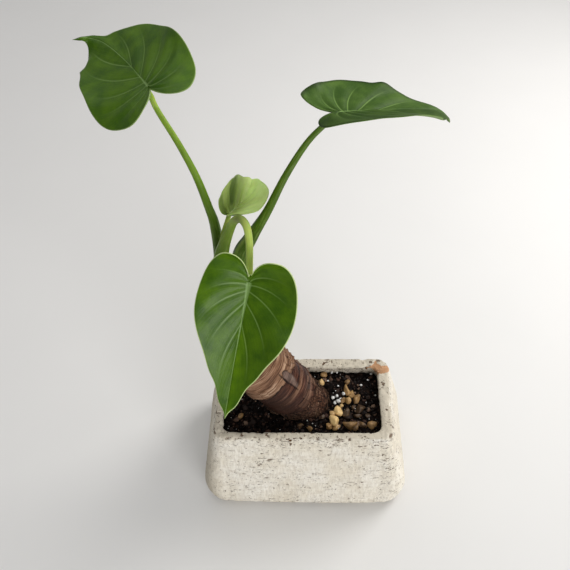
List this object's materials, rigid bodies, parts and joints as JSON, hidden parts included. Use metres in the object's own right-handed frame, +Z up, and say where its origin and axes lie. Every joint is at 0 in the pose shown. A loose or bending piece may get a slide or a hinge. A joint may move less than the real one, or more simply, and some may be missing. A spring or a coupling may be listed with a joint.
{
  "type": "potted chinese taro",
  "caption": "Heart-leaved aroid on a leaning ringed trunk, with long arching leaf stalks, standing in gravelly soil in a flared rectangular stoneware pot.",
  "frame": {"origin": "middle of the pot's flat underside", "axes": "+Z up, +X along the pot's long side to the right, -Y to the front where the hanging leaf is"},
  "size_m": [0.2279, 0.1802, 0.3714],
  "materials": {
    "stoneware": "rough cream stoneware with dark pits and scratches",
    "soil": "moist crumbly dark potting soil",
    "gravel": "matt tan pebbles",
    "bark": "dry ringed trunk with papery scars",
    "leaf": "satin green leaf",
    "young_leaf": "satin pale green leaf",
    "stalk": "smooth satin green stalk"
  },
  "bodies": {
    "root": {"pot": "stoneware", "soil": "soil", "gravel_front": "gravel", "gravel_corner": "gravel", "gravel_middle": "gravel", "trunk": "bark", "stalk_left": "stalk", "blade_left": "leaf", "stalk_right": "stalk", "blade_right": "leaf", "stalk_front": "stalk", "blade_front": "leaf", "stalk_young": "stalk", "blade_young": "young_leaf"}
  },
  "joints": []
}
